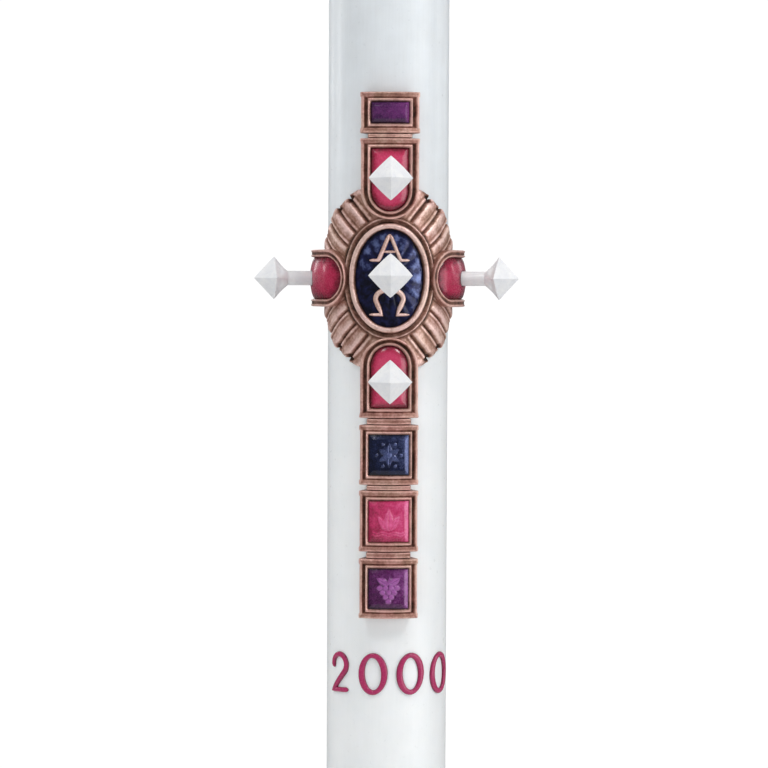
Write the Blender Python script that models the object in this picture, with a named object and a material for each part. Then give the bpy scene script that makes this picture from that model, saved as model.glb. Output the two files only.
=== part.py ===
"""A paschal candle with a jewelled wax cross, five incense nails and year numerals.

The candle stands on the origin with its length along +Z, and its front faces -Y. The pieces of the
cross are drawn flat as (across, up, height above the wax) and then wrapped round the candle.
"""

import math

import bmesh
import bpy
from mathutils import Matrix, Vector

# Candle
CANDLE_RADIUS = 0.0381
CANDLE_LENGTH = 0.9144
CANDLE_SIDES = 48
SHOULDER = 0.004
WICK_RADIUS = 0.0016
WICK_ABOVE = 0.022
WICK_BORE_RADIUS = 0.0020
WICK_BORE_FLOOR = 0.012
GAP = 0.0003

# Cross, measured from its centre
CROSS_HEIGHT = 0.560
FRAME_FACE = 0.0108
FRAME_BEND = CANDLE_RADIUS + FRAME_FACE
FRAME_HALF_WIDTH = 0.0184
SIDE_ARM_HALF_WIDTH = 0.0174
SIDE_ARM_SLIMNESS = 0.65
UPPER_ARM = (0.0360, 0.0857)
LOWER_ARM = (0.0364, 0.0860)
SIDE_ARM = (math.radians(34.0) * FRAME_BEND, math.radians(111.0) * FRAME_BEND)
TOP_TILE = (0.0888, 0.1140)
NAVY_TILE = (-0.1274, -0.0904)
PINK_TILE = (-0.1688, -0.1310)
PURPLE_TILE = (-0.2103, -0.1732)
CONNECTOR_HALF_WIDTH = 0.0142
CONNECTOR_HEIGHT = 0.0078

# Each profile is a list of (distance in from the outline, height above the wax)
FRAME_PROFILE = (
    (0.0, GAP),
    (0.0, 0.0100),
    (0.0004, FRAME_FACE),
    (0.0013, FRAME_FACE),
    (0.0017, 0.0074),
    (0.0037, 0.0074),
    (0.0041, 0.0102),
    (0.0045, FRAME_FACE),
    (0.0056, FRAME_FACE),
    (0.0062, 0.0100),
    (0.0062, 0.0080),
)
JEWEL_INSET = 0.0065
JEWEL_SEAT = 0.0083
TILE_JEWEL_PROFILE = (
    (JEWEL_INSET, JEWEL_SEAT),
    (JEWEL_INSET, 0.0102),
    (JEWEL_INSET + 0.0012, 0.0114),
    (JEWEL_INSET + 0.0030, 0.0119),
)
BAR_JEWEL_PROFILE = (
    (JEWEL_INSET, JEWEL_SEAT),
    (JEWEL_INSET, 0.0098),
    (JEWEL_INSET + 0.0034, 0.0120),
)
CABOCHON_PROFILE = (
    (JEWEL_INSET, JEWEL_SEAT),
    (JEWEL_INSET, 0.0102),
    (JEWEL_INSET + 0.0010, 0.0112),
    (JEWEL_INSET + 0.0028, 0.0120),
    (JEWEL_INSET + 0.0050, 0.0124),
)

# Medallion and the fluted plate behind it
MEDALLION_BEND = 0.0476
RING_HALF = (0.0274, 0.0346)
PLATE_TOP = 0.0060
PLATE_LIP = 0.0003
FAN_REACH = (0.0670, 0.0580)
# A fan's two edges, in degrees from the vertical: at its root, at its reach, and how fast they part
FAN_START = (8.0, 20.0, 6)
FAN_END = (78.0, 66.5, 8)
FLUTES = 5
FLUTE_STEPS = 2
FLUTE_STATIONS = (
    # share of the way out, height at the crest, height in the groove
    (0.00, PLATE_TOP, PLATE_TOP),
    (0.06, 0.0048, 0.0022),
    (0.20, 0.0044, 0.0019),
    (0.50, 0.0040, 0.0017),
    (0.92, 0.0034, 0.0015),
    (1.00, 0.0022, 0.0012),
)
GROOVE_SHORT = 0.05
RING_PROFILE = (
    (0.0, PLATE_TOP + GAP),
    (0.0, 0.0078),
    (0.0008, 0.0091),
    (0.0021, 0.0096),
    (0.0034, 0.0091),
    (0.0042, 0.0078),
    (0.0042, PLATE_TOP + GAP),
)
FIELD_PROFILE = (
    (0.0046, PLATE_TOP + GAP),
    (0.0046, 0.0070),
    (0.0056, 0.0076),
)
LETTER_BASE = 0.0076 + GAP
LETTER_TOP = 0.0091
LETTER_STROKE = 0.0027

# Numerals
NUMERAL_ZONE = -0.2466
NUMERAL_DROPS = (0.0009, 0.0, 0.0, 0.0018)
NUMERAL_HEIGHT = 0.0270
NUMERAL_WIDTH = 0.0200
NUMERAL_STROKE = 0.0042
NUMERAL_RISE = 0.0018
NUMERAL_START = -50.0
NUMERAL_PITCH = 36.0

# Nails: distances out from the candle's axis
NAIL_TIP = 0.0240
NAIL_NECK = 0.0647
NAIL_CORNERS = 0.0730
NAIL_APEX = 0.0858
NAIL_HEAD_HALF = 0.0134
NAIL_RADIUS = 0.00465
NAIL_SIDES = 16
SOCKET_RADIUS = 0.00505
SOCKET_FLOOR = 0.0100
SOCKET_MOUTH = 0.0600
GRAIN_POCKET_RADIUS = 0.0026
GRAIN_POCKET_END = 0.0350
GRAIN_RADIUS = 0.0022
NAILS = {
    # name: degrees round from the front, height from the cross's centre
    "upper": (0.0, 0.0602),
    "centre": (0.0, 0.0016),
    "lower": (0.0, -0.0626),
    "left": (-81.0, 0.0),
    "right": (71.0, 0.0),
}

# Colours, 0 to 255
WAX_WHITE = (232, 234, 236)
BRONZE = (172, 130, 114)
RASPBERRY = (176, 44, 86)
PURPLE = (86, 32, 92)
NAVY = (30, 34, 84)
NUMERAL_RED = (170, 44, 92)
PEARL = (236, 236, 238)
COTTON = (226, 216, 196)
RESIN = (196, 140, 60)


def clear_scene():
    for ob in list(bpy.data.objects):
        bpy.data.objects.remove(ob, do_unlink=True)


def linear(channel):
    share = channel / 255.0
    return share / 12.92 if share <= 0.04045 else ((share + 0.055) / 1.055) ** 2.4


def material(name, colour, roughness, metallic=0.0):
    mat = bpy.data.materials.get(name)
    if mat is None:
        mat = bpy.data.materials.new(name)
        mat.use_nodes = True
        shader = mat.node_tree.nodes["Principled BSDF"]
        shader.inputs["Base Color"].default_value = (*map(linear, colour), 1.0)
        shader.inputs["Roughness"].default_value = roughness
        shader.inputs["Metallic"].default_value = metallic
    return mat


def wax():
    return material("candle_wax", WAX_WHITE, 0.35)


def bronze():
    return material("bronze_wax", BRONZE, 0.40, 0.25)


def gloss(name, colour):
    return material(name, colour, 0.15)


def add_object(name, bm, mat, sharp_angle=35.0):
    """Turns a closed bmesh into an object with outward faces."""
    bmesh.ops.recalc_face_normals(bm, faces=bm.faces)
    mesh = bpy.data.meshes.new(name)
    bm.to_mesh(mesh)
    bm.free()
    mesh.shade_smooth()
    mesh.set_sharp_from_angle(angle=math.radians(sharp_angle))
    mesh.materials.append(mat)
    ob = bpy.data.objects.new(name, mesh)
    bpy.context.scene.collection.objects.link(ob)
    return ob


def add_loops(bm, loops, closed=False):
    """Bridges loops of equal length with quads, and caps both ends unless the last meets the first."""
    rings = [[bm.verts.new(point) for point in loop] for loop in loops]
    pairs = list(zip(rings, rings[1:]))
    if closed:
        pairs.append((rings[-1], rings[0]))
    else:
        bm.faces.new(rings[0])
        bm.faces.new(rings[-1])
    for lower, upper in pairs:
        for i in range(len(lower)):
            j = (i + 1) % len(lower)
            bm.faces.new((lower[i], lower[j], upper[j], upper[i]))


def add_slab(bm, points, faces, floor):
    """Closes a sheet of faces with a copy of itself at the floor height and walls round its edge."""
    top = [bm.verts.new(point) for point in points]
    bottom = [bm.verts.new((point[0], point[1], floor)) for point in points]
    uses = {}
    for face in faces:
        bm.faces.new([top[i] for i in face])
        bm.faces.new([bottom[i] for i in reversed(face)])
        for a, b in zip(face, face[1:] + face[:1]):
            uses.setdefault(frozenset((a, b)), []).append((a, b))
    for edges in uses.values():
        if len(edges) == 1:
            a, b = edges[0]
            bm.faces.new((top[b], top[a], bottom[a], bottom[b]))


def wrap(bm, bend, turn=0.0, base=CROSS_HEIGHT):
    """Bends a flat drawing round the candle. It keeps its width at the bend radius."""
    step = 2 * math.pi / CANDLE_SIDES
    low = min(vert.co.x for vert in bm.verts) / bend + turn
    high = max(vert.co.x for vert in bm.verts) / bend + turn
    for k in range(math.floor(low / step), math.ceil(high / step) + 1):
        bmesh.ops.bisect_plane(
            bm,
            geom=bm.verts[:] + bm.edges[:] + bm.faces[:],
            dist=1e-6,
            plane_co=((k * step - turn) * bend, 0.0, 0.0),
            plane_no=(1.0, 0.0, 0.0),
        )
    for vert in bm.verts:
        angle = vert.co.x / bend + turn
        radius = CANDLE_RADIUS + vert.co.z
        vert.co = (radius * math.sin(angle), -radius * math.cos(angle), base + vert.co.y)


def tile_outline(span, half_width=FRAME_HALF_WIDTH):
    """Gives the outline of a rectangle as a function of the distance in from its edge."""

    def outline(inset):
        left, right = inset - half_width, half_width - inset
        low, high = span[0] + inset, span[1] - inset
        return [(left, low), (right, low), (right, high), (left, high)]

    return outline


def arm_outline(span, half_width, direction, steps=10):
    """An arm has a round inner end and a flat outer end, and points along direction."""
    along = Vector(direction)
    across = Vector((-along.y, along.x))
    centre = span[0] + half_width

    def outline(inset):
        radius = half_width - inset
        flat_end = span[1] - inset
        local = [(-radius, flat_end)]
        for i in range(steps + 1):
            angle = math.pi + math.pi * i / steps
            local.append((radius * math.cos(angle), centre + radius * math.sin(angle)))
        local.append((radius, flat_end))
        return [tuple(across * x + along * y) for x, y in local]

    return outline


def oval_outline(half, steps=36):
    def outline(inset):
        angles = [2 * math.pi * i / steps for i in range(steps)]
        width, height = half[0] - inset, half[1] - inset
        return [(width * math.cos(a), height * math.sin(a)) for a in angles]

    return outline


def profiled(name, outline, profile, bend, mat, closed=False):
    """Builds a piece from an outline and a profile, and wraps it round the candle."""
    bm = bmesh.new()
    loops = [[(x, y, height) for x, y in outline(inset)] for inset, height in profile]
    add_loops(bm, loops, closed)
    wrap(bm, bend)
    return add_object(name, bm, mat)


def stroke_loops(path, width, low, high, closed=False):
    """Gives the cross-sections of a raised stroke with rounded shoulders along a flat path."""
    points = [Vector(point) for point in path]
    count = len(points)
    loops = []
    for i, point in enumerate(points):
        before = points[i - 1] if closed or i > 0 else None
        after = points[(i + 1) % count] if closed or i < count - 1 else None
        tangents = []
        if before is not None:
            tangents.append((point - before).normalized())
        if after is not None:
            tangents.append((after - point).normalized())
        tangent = sum(tangents, Vector((0.0, 0.0))).normalized()
        side = Vector((-tangent.y, tangent.x))
        mitre = 1.0 / max(0.5, tangent.dot(tangents[0]))
        shoulder = low + 0.6 * (high - low)
        section = ((-0.5, low), (-0.5, shoulder), (-0.25, high), (0.25, high), (0.5, shoulder), (0.5, low))
        loops.append([(*(point + side * share * width * mitre), height) for share, height in section])
    return loops


def curve(start, control_1, control_2, end, steps):
    """Samples a cubic curve, without its start point."""
    points = []
    for i in range(1, steps + 1):
        t = i / steps
        weights = ((1 - t) ** 3, 3 * t * (1 - t) ** 2, 3 * t * t * (1 - t), t**3)
        corners = (start, control_1, control_2, end)
        points.append(tuple(sum(w * c[axis] for w, c in zip(weights, corners)) for axis in (0, 1)))
    return points


def arc(centre, radii, start, end, steps):
    points = []
    for i in range(steps + 1):
        angle = math.radians(start + (end - start) * i / steps)
        points.append((centre[0] + radii[0] * math.cos(angle), centre[1] + radii[1] * math.sin(angle)))
    return points


def build_candle():
    angles = [2 * math.pi * i / CANDLE_SIDES for i in range(CANDLE_SIDES)]

    def ring(radius, height):
        return [(radius * math.sin(a), -radius * math.cos(a), height) for a in angles]

    loops = [ring(CANDLE_RADIUS, 0.0)]
    for i in range(4):
        turn = math.radians(30.0 * i)
        radius = CANDLE_RADIUS - SHOULDER * (1 - math.cos(turn))
        loops.append(ring(radius, CANDLE_LENGTH - SHOULDER * (1 - math.sin(turn))))
    loops.append(ring(WICK_BORE_RADIUS, CANDLE_LENGTH))
    loops.append(ring(WICK_BORE_RADIUS, WICK_BORE_FLOOR))
    bm = bmesh.new()
    add_loops(bm, loops)
    return add_object("candle_body", bm, wax())


def build_wick():
    bm = bmesh.new()
    low, high = WICK_BORE_FLOOR + GAP, CANDLE_LENGTH + WICK_ABOVE
    bmesh.ops.create_cone(
        bm,
        cap_ends=True,
        segments=12,
        radius1=WICK_RADIUS,
        radius2=WICK_RADIUS,
        depth=high - low,
        matrix=Matrix.Translation((0.0, 0.0, (low + high) / 2)),
    )
    add_object("wick", bm, material("wick_cotton", COTTON, 0.9))


def outward(angle):
    """The frame of a nail: its local +Z leaves the candle, and its local +Y is up."""
    out = Vector((math.sin(angle), -math.cos(angle), 0.0))
    up = Vector((0.0, 0.0, 1.0))
    side = up.cross(out)
    return Matrix((side, up, out)).transposed().to_4x4()


def round_loop(radius, distance, sides=NAIL_SIDES):
    angles = [2 * math.pi * i / sides for i in range(sides)]
    height = distance - CANDLE_RADIUS
    return [(radius * math.cos(a), radius * math.sin(a), height) for a in angles]


def diamond_loop(half, distance):
    """A square on its corner, with as many points as the round shank."""
    points = []
    for x, y, height in round_loop(1.0, distance):
        reach = half / (abs(x) + abs(y))
        points.append((x * reach, y * reach, height))
    return points


def place_nail_piece(ob, name):
    degrees, height = NAILS[name]
    angle = math.radians(degrees)
    centre = Vector((math.sin(angle), -math.cos(angle), 0.0)) * CANDLE_RADIUS
    place = Matrix.Translation(centre + Vector((0.0, 0.0, CROSS_HEIGHT + height)))
    ob.matrix_world = place @ outward(angle)


def build_nail(name):
    tip_round = 0.0008
    loops = [
        round_loop(0.0002, NAIL_APEX),
        diamond_loop(NAIL_HEAD_HALF, NAIL_CORNERS),
        diamond_loop(NAIL_HEAD_HALF - 0.0003, NAIL_CORNERS - 0.0006),
        round_loop(NAIL_RADIUS, NAIL_NECK),
        round_loop(NAIL_RADIUS, NAIL_TIP + tip_round),
        round_loop(NAIL_RADIUS - tip_round, NAIL_TIP),
        round_loop(GRAIN_POCKET_RADIUS, NAIL_TIP),
        round_loop(GRAIN_POCKET_RADIUS, GRAIN_POCKET_END),
    ]
    bm = bmesh.new()
    add_loops(bm, loops)
    nail = add_object(f"nail_{name}", bm, material("pearl_wax", PEARL, 0.3), 20.0)
    place_nail_piece(nail, name)


def build_grain(name):
    low = NAIL_TIP + 0.0010
    high = GRAIN_POCKET_END - GAP
    length = high - low
    shares = ((0.45, 0.0), (0.9, 0.2), (1.0, 0.55), (0.8, 0.85), (0.35, 1.0))
    bm = bmesh.new()
    add_loops(bm, [round_loop(GRAIN_RADIUS * r, low + length * t, 10) for r, t in shares])
    grain = add_object(f"incense_{name}", bm, material("incense_resin", RESIN, 0.5), 50.0)
    place_nail_piece(grain, name)


def build_socket_cutter(name):
    """The hole that a nail slides in, through the ornament and into the wax."""
    bm = bmesh.new()
    add_loops(bm, [round_loop(SOCKET_RADIUS, SOCKET_FLOOR), round_loop(SOCKET_RADIUS, SOCKET_MOUTH)])
    cutter = add_object(f"socket_cutter_{name}", bm, wax())
    place_nail_piece(cutter, name)
    hide(cutter)
    return cutter


def hide(ob):
    ob.hide_render = True
    ob.display_type = "WIRE"


def boolean(ob, other, operation):
    modifier = ob.modifiers.new(f"{operation.lower()}_{other.name}", "BOOLEAN")
    modifier.operation = operation
    modifier.solver = "EXACT"
    modifier.object = other


def build_tile(name, span, profile, mat):
    outline = tile_outline(span)
    profiled(f"{name}_frame", outline, FRAME_PROFILE, FRAME_BEND, bronze())
    profiled(f"{name}_jewel", outline, profile, FRAME_BEND, mat)


def slimmer(profile, share, fixed=0.0):
    """Narrows a profile, but keeps a fixed first part of each distance in."""
    return [((inset - fixed) * share + fixed, height) for inset, height in profile]


def build_arm(name, span, half_width, direction, slimness, cutter):
    outline = arm_outline(span, half_width, direction)
    setting = slimmer(FRAME_PROFILE, slimness)
    frame = profiled(f"{name}_arm_frame", outline, setting, FRAME_BEND, bronze())
    stone = gloss("raspberry_jewel", RASPBERRY)
    dome = slimmer(CABOCHON_PROFILE, slimness, GAP)
    cabochon = profiled(f"{name}_cabochon", outline, dome, FRAME_BEND, stone)
    boolean(frame, cutter, "DIFFERENCE")
    boolean(cabochon, cutter, "DIFFERENCE")


def build_connectors():
    """Bars that fill the joints between neighbouring frames."""
    joints = {
        "top": (UPPER_ARM[1], TOP_TILE[0]),
        "upper": (NAVY_TILE[1], -LOWER_ARM[1]),
        "middle": (PINK_TILE[1], NAVY_TILE[0]),
        "bottom": (PURPLE_TILE[1], PINK_TILE[0]),
    }
    edge = 0.0005
    profile = ((0.0, GAP), (0.0, CONNECTOR_HEIGHT - edge), (edge, CONNECTOR_HEIGHT))
    for name, (low, high) in joints.items():
        outline = tile_outline((low + GAP, high - GAP), CONNECTOR_HALF_WIDTH)
        profiled(f"{name}_connector", outline, profile, FRAME_BEND, bronze())


def fan_edge(edge, share):
    """A fan's edge starts wide at the root and settles along the arm beside it."""
    root, reach, haste = edge
    return root + (reach - root) * (1.0 - (1.0 - share) ** haste)


def fan_point(quarter, across, share):
    """A point of one fan: across its flutes from 0 to 1, and from the plate's middle outwards."""
    start, end = fan_edge(FAN_START, share), fan_edge(FAN_END, share)
    turn = math.radians(start + (end - start) * across)
    inner = (RING_HALF[0] + PLATE_LIP, RING_HALF[1] + PLATE_LIP)
    width = inner[0] + (FAN_REACH[0] - inner[0]) * share
    height = inner[1] + (FAN_REACH[1] - inner[1]) * share
    return quarter[0] * width * math.sin(turn), quarter[1] * height * math.cos(turn)


def build_plate(cutter):
    """The fluted plate: a flat oval middle with a fan of flutes in each corner of the cross."""
    steps = FLUTES * FLUTE_STEPS
    points, faces, middle = [], [], []
    for quarter in ((1, 1), (1, -1), (-1, -1), (-1, 1)):
        rows = []
        for i in range(steps + 1):
            across = i / steps
            crest = math.sin(math.pi * (i % FLUTE_STEPS) / FLUTE_STEPS)
            row = []
            for share, high, low in FLUTE_STATIONS:
                reach = share * (1.0 - GROOVE_SHORT * (1.0 - crest))
                row.append(len(points))
                points.append((*fan_point(quarter, across, reach), low + (high - low) * crest))
            rows.append(row)
        if quarter[0] != quarter[1]:
            rows.reverse()
        for row, following in zip(rows, rows[1:]):
            for k in range(len(row) - 1):
                faces.append([row[k], row[k + 1], following[k + 1], following[k]])
        middle += [row[0] for row in rows]
    faces.append(middle)
    bm = bmesh.new()
    add_slab(bm, points, faces, GAP)
    wrap(bm, MEDALLION_BEND)
    plate = add_object("sunburst_plate", bm, bronze(), 50.0)
    boolean(plate, cutter, "DIFFERENCE")


def build_medallion(cutter):
    outline = oval_outline(RING_HALF)
    profiled("medallion_ring", outline, RING_PROFILE, MEDALLION_BEND, bronze(), closed=True)
    enamel = gloss("navy_enamel", NAVY)
    field = profiled("medallion_field", outline, FIELD_PROFILE, MEDALLION_BEND, enamel)
    boolean(field, cutter, "DIFFERENCE")


def letter(name, path):
    bm = bmesh.new()
    add_loops(bm, stroke_loops(path, LETTER_STROKE, LETTER_BASE, LETTER_TOP))
    wrap(bm, MEDALLION_BEND)
    return add_object(name, bm, bronze())


def build_letters():
    """Plain signs for the first and the last: an open peak with a bar, and a horseshoe on two feet."""
    foot, knee, peak = 0.0130, 0.0069, 0.0270
    low = 0.0110
    path = [(-foot, low), (-knee, low), (0.0, peak), (knee, low), (foot, low)]
    first = letter("first_letter", path)
    bar = letter("first_letter_bar", [(-0.0048, 0.0162), (0.0048, 0.0162)])
    hide(bar)
    boolean(first, bar, "UNION")
    baseline, bowl_centre, bowl = -0.0224, -0.0127, (0.0089, 0.0058)
    neck = (0.0050, baseline)
    left = arc((0.0, bowl_centre), bowl, 200.0, 90.0, 8)
    half = [(-0.0130, baseline), (-neck[0], baseline)]
    half += curve(half[-1], (-0.0053, -0.0193), (-0.0075, -0.0175), left[0], 3) + left[1:]
    letter("last_letter", half + [(-x, y) for x, y in reversed(half[:-1])])


def zero_path():
    radii = ((NUMERAL_WIDTH - NUMERAL_STROKE) / 2, (NUMERAL_HEIGHT - NUMERAL_STROKE) / 2)
    return arc((0.0, 0.0), radii, 0.0, 360.0, 24)[:-1]


def two_path():
    half_height = (NUMERAL_HEIGHT - NUMERAL_STROKE) / 2
    bow = 0.0066
    top = arc((0.0, half_height - bow), (bow, bow), 165.0, -20.0, 12)
    corner = (-bow, -half_height)
    slope = curve(top[-1], (0.0052, 0.0010), (-0.0020, -0.0050), corner, 6)
    return top + slope + [(bow + 0.0010, -half_height)]


def build_numerals():
    """Four year numerals, generic ones, with the outer two set a little lower."""
    paths = (("first", two_path()), ("second", zero_path()), ("third", zero_path()), ("fourth", zero_path()))
    red = gloss("numeral_wax", NUMERAL_RED)
    bend = CANDLE_RADIUS + NUMERAL_RISE
    for i, (name, path) in enumerate(paths):
        closed = name != "first"
        bm = bmesh.new()
        add_loops(bm, stroke_loops(path, NUMERAL_STROKE, GAP, NUMERAL_RISE, closed), closed)
        turn = math.radians(NUMERAL_START + NUMERAL_PITCH * i)
        wrap(bm, bend, turn, CROSS_HEIGHT + NUMERAL_ZONE - NUMERAL_DROPS[i])
        add_object(f"{name}_numeral", bm, red)


def build():
    clear_scene()
    cutters = {name: build_socket_cutter(name) for name in NAILS}
    candle = build_candle()
    for cutter in cutters.values():
        boolean(candle, cutter, "DIFFERENCE")
    build_wick()
    for name in NAILS:
        build_nail(name)
        build_grain(name)
    arms = {
        "upper": (UPPER_ARM, FRAME_HALF_WIDTH, (0.0, 1.0), 1.0),
        "lower": (LOWER_ARM, FRAME_HALF_WIDTH, (0.0, -1.0), 1.0),
        "left": (SIDE_ARM, SIDE_ARM_HALF_WIDTH, (-1.0, 0.0), SIDE_ARM_SLIMNESS),
        "right": (SIDE_ARM, SIDE_ARM_HALF_WIDTH, (1.0, 0.0), SIDE_ARM_SLIMNESS),
    }
    for name, (span, half_width, direction, slimness) in arms.items():
        build_arm(name, span, half_width, direction, slimness, cutters[name])
    build_tile("top_tile", TOP_TILE, BAR_JEWEL_PROFILE, gloss("purple_jewel", PURPLE))
    build_tile("navy_tile", NAVY_TILE, TILE_JEWEL_PROFILE, gloss("navy_jewel", NAVY))
    build_tile("pink_tile", PINK_TILE, TILE_JEWEL_PROFILE, gloss("pink_jewel", RASPBERRY))
    build_tile("purple_tile", PURPLE_TILE, TILE_JEWEL_PROFILE, gloss("purple_jewel", PURPLE))
    build_connectors()
    build_plate(cutters["centre"])
    build_medallion(cutters["centre"])
    build_letters()
    build_numerals()


build()
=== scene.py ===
from math import acos, asin, cos, exp, hypot, pi, radians, sin, sqrt

import bmesh
import bpy
from mathutils import Matrix, Vector, kdtree, noise


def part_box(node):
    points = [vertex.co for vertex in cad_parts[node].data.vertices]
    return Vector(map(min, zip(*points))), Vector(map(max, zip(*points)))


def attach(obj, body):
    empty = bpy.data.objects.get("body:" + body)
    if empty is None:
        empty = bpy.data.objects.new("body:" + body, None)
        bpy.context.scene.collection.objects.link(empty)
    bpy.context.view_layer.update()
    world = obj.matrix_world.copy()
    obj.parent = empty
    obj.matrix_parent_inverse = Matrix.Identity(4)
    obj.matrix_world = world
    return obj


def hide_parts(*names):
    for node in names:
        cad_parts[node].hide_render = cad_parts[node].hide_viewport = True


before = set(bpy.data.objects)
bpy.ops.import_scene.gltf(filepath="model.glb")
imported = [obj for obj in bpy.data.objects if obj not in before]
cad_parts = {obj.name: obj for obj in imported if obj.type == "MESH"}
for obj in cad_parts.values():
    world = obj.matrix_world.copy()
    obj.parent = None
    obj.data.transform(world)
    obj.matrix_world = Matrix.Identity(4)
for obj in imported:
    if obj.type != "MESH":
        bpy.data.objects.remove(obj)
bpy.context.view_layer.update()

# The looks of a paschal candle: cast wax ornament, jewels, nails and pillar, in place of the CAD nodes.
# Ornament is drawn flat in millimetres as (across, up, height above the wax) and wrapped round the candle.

MM = 0.001

# Unseeded, the noise that hand_cast uses would follow the clock
noise.seed_set(1)

# The candle and the cross, read from the frame
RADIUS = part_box("candle_body")[1].x / MM
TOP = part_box("candle_body")[1].z / MM
CROSS = (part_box("nail_left")[0].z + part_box("nail_left")[1].z) / 2 / MM
FACE = -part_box("top_tile_frame")[0].y / MM - RADIUS
FRAME_BEND = RADIUS + FACE
MEDALLION_BEND = RADIUS + 9.5
MERGE = 2e-6
SHOULDER = 4.0
WICK_ROOT = 6.0
WICK_CORE = 1.3
PLAIT_PITCH = 7.0

# Nails, as distances from the candle's axis
NAIL_TIP = 24.0
NAIL_NECK = 64.7
NAIL_CORNERS = 73.0
NAIL_APEX = 85.8
NAIL_HALF = 13.4
SHANK = 4.6
POCKET = 2.6
POCKET_FLOOR = 35.0
SOCKET = 5.05
SOCKET_FLOOR = 10.0
SOCKET_MOUTH = 62.0
# A ring is round at power 2 and a square on its corner at power 1
ROUND_POWER = 2.0
HEAD_POWER = 1.07
NAIL_TURNS = {"upper": 0.0, "centre": 0.0, "lower": 0.0, "left": -81.0, "right": 71.0}

# Rings of a frame from the outside in. Each has distances in, heights and shades at the sides, at a
# flat end and at a round end. A shade is 0 in a groove and 1 on a raised edge. The grooves are dark
# partly as patina and partly as painted shade, deeper at the sides and round ends than at the flat
# ends, and the raised edges are lightened as painted highlight.
FRAME_RINGS = (
    ((-0.6, 0.0, 0.0), (0.3, 0.3, 0.3), (0.4, 0.4, 0.4)),
    ((-0.6, 0.0, 0.0), (3.0, 3.0, 3.0), (0.5, 0.48, 0.48)),
    ((-0.6, 0.0, 0.0), (6.5, 6.5, 6.5), (0.56, 0.52, 0.52)),
    ((-0.6, 0.0, 0.0), (9.4, 9.4, 9.4), (0.68, 0.6, 0.6)),
    ((-0.48, 0.12, 0.12), (10.1, 10.1, 10.1), (0.9, 0.75, 0.8)),
    ((-0.15, 0.38, 0.38), (10.6, 10.6, 10.6), (1.0, 0.9, 1.0)),
    ((0.4, 0.85, 0.75), (10.8, 10.8, 10.8), (1.0, 0.75, 0.95)),
    ((0.95, 1.6, 1.05), (10.7, 10.5, 10.7), (0.9, 0.58, 0.75)),
    ((1.35, 2.4, 1.35), (10.4, 10.6, 10.4), (0.7, 0.62, 0.65)),
    ((1.62, 2.85, 1.55), (9.9, 10.5, 9.9), (0.45, 0.62, 0.5)),
    ((1.85, 3.1, 1.72), (9.3, 10.2, 9.4), (0.26, 0.5, 0.3)),
    ((2.2, 3.3, 1.95), (8.9, 9.9, 9.0), (0.16, 0.38, 0.18)),
    ((2.75, 3.5, 2.35), (8.7, 9.8, 8.8), (0.14, 0.32, 0.16)),
    ((3.3, 3.7, 2.75), (8.9, 9.9, 9.0), (0.16, 0.36, 0.18)),
    ((3.62, 3.88, 2.98), (9.3, 10.1, 9.5), (0.24, 0.5, 0.28)),
    ((3.82, 4.02, 3.14), (9.9, 10.4, 10.0), (0.45, 0.62, 0.48)),
    ((4.02, 4.2, 3.34), (10.5, 10.7, 10.5), (0.8, 0.85, 0.8)),
    ((4.35, 4.5, 3.62), (10.9, 10.9, 10.9), (1.0, 1.0, 1.0)),
    ((4.75, 4.88, 3.98), (10.9, 10.9, 10.9), (1.0, 1.0, 1.0)),
    ((5.15, 5.26, 4.32), (10.5, 10.5, 10.5), (0.9, 0.9, 0.9)),
    ((5.5, 5.6, 4.62), (10.0, 10.0, 10.0), (0.75, 0.75, 0.75)),
    ((5.8, 5.92, 4.9), (9.3, 9.3, 9.3), (0.45, 0.45, 0.45)),
    ((5.9, 6.02, 5.0), (8.0, 8.0, 8.0), (0.05, 0.05, 0.05)),
)
CORNER = 0.6
# Ears, the outer rail's small reach to the side where it ends
EAR = 0.6
EAR_DEPTH = 1.2
EAR_LENGTH = 3.2
# How far a panel's profile is drawn in, at its sides and at its ends
PLAIN_SCALES = (1.0, 1.0)
TILE_SCALES = (0.88, 1.0)
SIDE_ARM_SCALES = (0.74, 0.74)
# The side arms' groove is kept shallow, out to the lip of the jewel
SIDE_GROOVE = 10.3
JEWEL_LIP = 5.2

# Jewels
JEWEL_INSET = (5.94, 6.06, 5.04)
JEWEL_SEAT = 8.1
# A dome's height at its edge, its rise and how much its spine bows
FRONT_DOME = (8.4, 4.0, 0.0)
SIDE_DOME = (8.2, 2.6, 1.0)
# The side domes' shades are scaled down, as painted shade on the jewels that face to the sides
SIDE_DOME_PAINTED_SHADE = 0.5
# A cut jewel's chamfer, its drop, the jewel's height, its pillow and how much painted highlight its middle
# gets
BAR_CUT = (2.6, 1.9, 11.6, 0.5, 0.22)
TILE_CUT = (3.0, 1.2, 11.1, 0.5, 0.0)
# A cut jewel gets painted light: lighter to the right and along its right edge, and painted shade at its
# foot
LIT_SIDE = 0.18
LIT_EDGE = 0.35
PAINTED_FOOT_SHADE = 0.25

# Connectors from the edge in: distance in, height and shade
CONNECTOR_RINGS = (
    (0.00, 0.3, 0.30),
    (0.00, 8.0, 0.40),
    (0.08, 9.0, 0.60),
    (0.30, 9.6, 0.95),
    (0.80, 9.8, 0.90),
    (1.30, 9.6, 0.60),
)
CONNECTOR_WIDTH = 1.1

# Medallion
RING_HALF = (27.4, 34.6)
RING_WIDTH = 4.4
RING_SEAT = 6.2
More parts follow.
